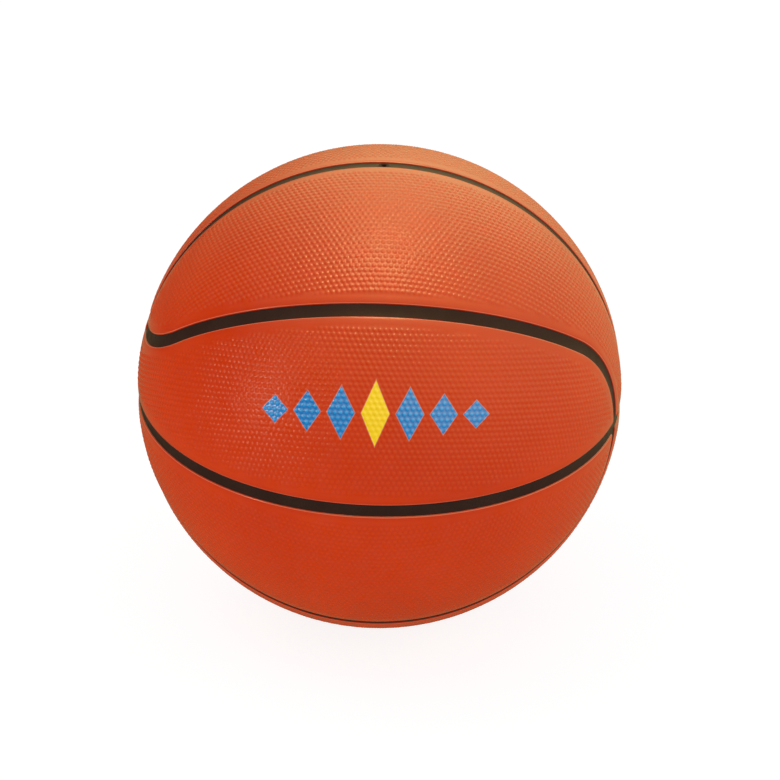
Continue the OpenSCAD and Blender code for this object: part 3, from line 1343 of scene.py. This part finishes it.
@dataclass
class InnerPieces:
    """The layers under the cover and the valve, which keep their CAD shapes."""

    nodes: dict[str, bpy.types.Object]
    carcass: PlainRubber = PlainRubber(
        "carcass_rubber", colour(26, 26, 27), colour(58, 57, 56), 0.75
    )
    bladder: PlainRubber = PlainRubber(
        "bladder_rubber", colour(38, 38, 40), colour(74, 74, 74), 0.5
    )
    valve: PlainRubber = PlainRubber(
        "valve_rubber", colour(34, 20, 17), colour(56, 34, 28), 0.6, 0.08
    )

    def dress(self) -> list[bpy.types.Object]:
        """Gives each node the finish of its rubber or yarn.

        Returns:
            The five nodes.
        """
        valve = self.valve.material()
        finishes = {
            "carcass": (self.carcass.material(), Slot.CARCASS),
            "winding": (WoundYarn().material(), Slot.YARN),
            "bladder": (self.bladder.material(), Slot.BLADDER),
            "valve_housing": (valve, Slot.VALVE),
            "valve_core": (valve, Slot.VALVE),
        }
        for name, (material, slot) in finishes.items():
            dress(self.nodes[name], material)
        return [self.nodes[name] for name in finishes]


@dataclass(frozen=True)
class View:
    """Where the photograph was taken from, and how the ball lies in its frame."""

    azimuth: float = math.radians(0.85)
    elevation: float = math.radians(28.4)
    roll: float = math.radians(-1.16)
    distance: float = 1.15
    frame_px: float = 780.0
    ball_px: float = 241.8
    centre_px: tuple[float, float] = (379.5, 386.1)
    sensor: float = 36.0

    def build(self, ball_r: float) -> None:
        """Makes the scene's camera, aimed at the ball's centre and shifted to the frame.

        Args:
            ball_r: Radius of the ball, in metres.
        """
        toward = np.array([
            math.sin(self.azimuth) * math.cos(self.elevation),
            -math.cos(self.azimuth) * math.cos(self.elevation),
            math.sin(self.elevation),
        ])
        level_up = unit(Z_AXIS - toward * toward[2])
        level_right = np.cross(level_up, toward)
        up = math.cos(self.roll) * level_up + math.sin(self.roll) * level_right
        right = np.cross(up, toward)
        data = bpy.data.cameras.new("view")
        reach = math.sqrt((self.distance / ball_r) ** 2 - 1.0)
        data.sensor_width = self.sensor
        data.lens = self.ball_px * reach / self.frame_px * self.sensor
        data.shift_x = 0.5 - self.centre_px[0] / self.frame_px
        data.shift_y = self.centre_px[1] / self.frame_px - 0.5
        camera = bpy.data.objects.new("view", data)
        turn = Matrix(np.stack([right, up, toward], axis=1).tolist()).to_4x4()
        camera.matrix_world = Matrix.Translation((toward * self.distance).tolist()) @ turn
        bpy.context.scene.collection.objects.link(camera)
        bpy.context.scene.camera = camera


@dataclass(frozen=True)
class Lamp:
    """One soft lamp with a rectangular face, which points at the ball."""

    name: str
    place: tuple[float, float, float]
    width: float
    height: float
    power: float
    mirrored: bool
    tone: tuple[float, float, float] = (1.0, 1.0, 1.0)

    def build(self) -> None:
        """Makes the lamp."""
        data = bpy.data.lights.new(self.name, "AREA")
        data.shape = "RECTANGLE"
        data.size = self.width
        data.size_y = self.height
        data.energy = self.power
        data.color = self.tone
        lamp = bpy.data.objects.new(self.name, data)
        lamp.visible_glossy = self.mirrored
        back = unit(np.array(self.place))
        side = unit(np.cross(Z_AXIS, back))
        turn = Matrix(np.stack([side, np.cross(back, side), back], axis=1).tolist()).to_4x4()
        lamp.matrix_world = Matrix.Translation(self.place) @ turn
        bpy.context.scene.collection.objects.link(lamp)


@dataclass
class Studio:
    """A white tent round the ball, a white floor under it and a soft lamp on each side.

    Neither of these two lamps shows in reflections. A narrow warm one low on the left does,
    and makes the pebbles there sparkle.

    Reflections see a warm studio. A bright panel hangs overhead and towards the back, along
    panel_way, and fades to both sides of panel_x. A small brighter core is right above the
    ball. The rest is dim, lighter along glow_way and at the back. The floor's own tone is
    dark there, and it glows more towards the back and the right. Each light is a strength,
    or a pair of the least and the greatest. Each pair named share, side, back, left or right
    is where a light begins and where it is full: a share along its way, a distance from
    panel_x, or a place on the floor in metres.
    """

    ball_r: float
    floor_reach: float = 6.0
    tent: float = 0.66
    warm: Colour = (1.0, 0.85, 0.38, 1.0)
    panel_way: tuple[float, float, float] = (0.10, 0.40, 0.91)
    panel_share: tuple[float, float] = (0.40, 0.92)
    panel_x: float = 0.15
    panel_side: tuple[float, float] = (1.05, 0.10)
    panel_light: float = 1.75
    core_way: tuple[float, float, float] = (0.02, 0.0, 1.0)
    core_share: tuple[float, float] = (0.955, 1.0)
    core_light: float = 9.0
    glow_way: tuple[float, float, float] = (0.50, 0.0, 0.866)
    glow_share: tuple[float, float] = (-0.1, 0.75)
    glow_light: tuple[float, float] = (0.03, 1.5)
    backdrop_share: tuple[float, float] = (0.2, 0.9)
    backdrop_light: float = 0.5
    floor_tone: Colour = colour(240, 240, 240)
    floor_seen: Colour = colour(130, 130, 130)
    floor_mirrored: Colour = colour(40, 40, 40)
    floor_roughness: float = 0.9
    floor_glow: float = 0.86
    floor_fill: float = 0.21
    floor_back: tuple[float, float] = (-0.3, 0.5)
    floor_back_light: tuple[float, float] = (0.12, 0.5)
    floor_left: tuple[float, float] = (-1.2, 0.4)
    floor_right: tuple[float, float] = (0.0, 0.6)
    floor_right_light: float = 0.27
    lamps: tuple[Lamp, ...] = (
        Lamp("right_fill", (2.0, -0.5, 0.8), 2.2, 1.8, 12.6, False),
        Lamp("left_fill", (-1.5, 0.0, 1.8), 2.0, 1.6, 7.8, False),
        Lamp("left_strip", (-1.01, -0.77, 0.28), 0.16, 0.42, 2.2, True, (1.0, 0.86, 0.62)),
    )

    def build(self) -> None:
        """Makes the surroundings, the floor and the lamps."""
        bpy.context.scene.view_settings.view_transform = "Standard"
        self.world()
        self.floor()
        for lamp in self.lamps:
            lamp.build()

    def world(self) -> None:
        """Makes the surroundings.

        They are white to the camera and an even white as light. In reflections they are the
        sum of the panel, its core, the glow and the backdrop.
        """
        world = bpy.data.worlds.new("surroundings")
        bpy.context.scene.world = world
        world.use_nodes = True
        graph = Graph("", world.node_tree)
        path = graph.node("LightPath").outputs
        way = graph.node("TexCoord").outputs["Generated"]
        across = graph.node("SeparateXYZ", {"Vector": way}).outputs["X"]
        beside = graph.maths("ABSOLUTE", graph.maths("SUBTRACT", across, self.panel_x))
        panel = graph.ease(graph.dot(way, self.panel_way), *self.panel_share)
        panel = graph.maths("MULTIPLY", panel, graph.ease(beside, *self.panel_side))
        core = graph.ease(graph.dot(way, self.core_way), *self.core_share)
        backdrop = graph.ease(graph.dot(way, tuple(Y_AXIS)), *self.backdrop_share)
        mirrored = graph.spread(graph.dot(way, self.glow_way), *self.glow_share, *self.glow_light)
        lights = (self.panel_light, self.core_light, self.backdrop_light)
        for share, light in zip((panel, core, backdrop), lights):
            mirrored = graph.maths("ADD", mirrored, graph.maths("MULTIPLY", share, light))
        strength = graph.blend(path["Is Glossy Ray"], self.tent, mirrored)
        strength = graph.blend(path["Is Camera Ray"], strength, 1.0)
        tone = graph.mix(path["Is Glossy Ray"], WHITE, self.warm)
        background = graph.node("Background", {"Color": tone, "Strength": strength})
        graph.node("OutputWorld", {"Surface": background.outputs[0]})

    def floor(self) -> None:
        """Makes a flat floor that touches the ball's lowest point and keeps its faint shadow."""
        corners = np.array([[-1.0, -1.0], [1.0, -1.0], [1.0, 1.0], [-1.0, 1.0]])
        points = np.concatenate(
            [corners * self.floor_reach, np.full((len(corners), 1), -self.ball_r)], axis=1
        )
        floor = make_piece("floor", points, np.array([[0, 1, 2, 3]]))
        graph = Graph("floor_white")
        path = graph.node("LightPath").outputs
        seen, mirrored = path["Is Camera Ray"], path["Is Glossy Ray"]
        tone = graph.mix(seen, self.floor_tone, self.floor_seen)
        tone = graph.mix(mirrored, tone, self.floor_mirrored)
        place = graph.node("SeparateXYZ", {"Vector": graph.object_place()}).outputs
        behind = graph.spread(place["Y"], *self.floor_back, *self.floor_back_light)
        sheen = graph.maths("MULTIPLY", behind, graph.ease(place["X"], *self.floor_left))
        beside = graph.ease(place["X"], *self.floor_right)
        beside = graph.maths("MULTIPLY", beside, self.floor_right_light)
        sheen = graph.maths("ADD", sheen, beside)
        glow = graph.blend(seen, self.floor_fill, self.floor_glow)
        material = graph.finish(
            Base_Color=tone,
            Roughness=self.floor_roughness,
            Specular_IOR_Level=0.0,
            Emission_Color=graph.mix(mirrored, WHITE, self.warm),
            Emission_Strength=graph.blend(mirrored, glow, sheen),
        )
        floor.data.materials.append(material)


def main() -> None:
    """Builds the ball and the studio, and reports each piece."""
    logging.basicConfig(level=logging.INFO, format="%(name)s: %(message)s")
    layout = SeamLayout()
    View().build(layout.ball_r)
    pieces = Cover(layout).build() + Channels(layout).build()
    pieces += InnerPieces(frame["nodes"]).dress()
    for piece in pieces:
        log.info("%s: %d faces", piece.name, len(piece.data.polygons))
    Studio(layout.ball_r).build()


if __name__ == "__main__":
    main()
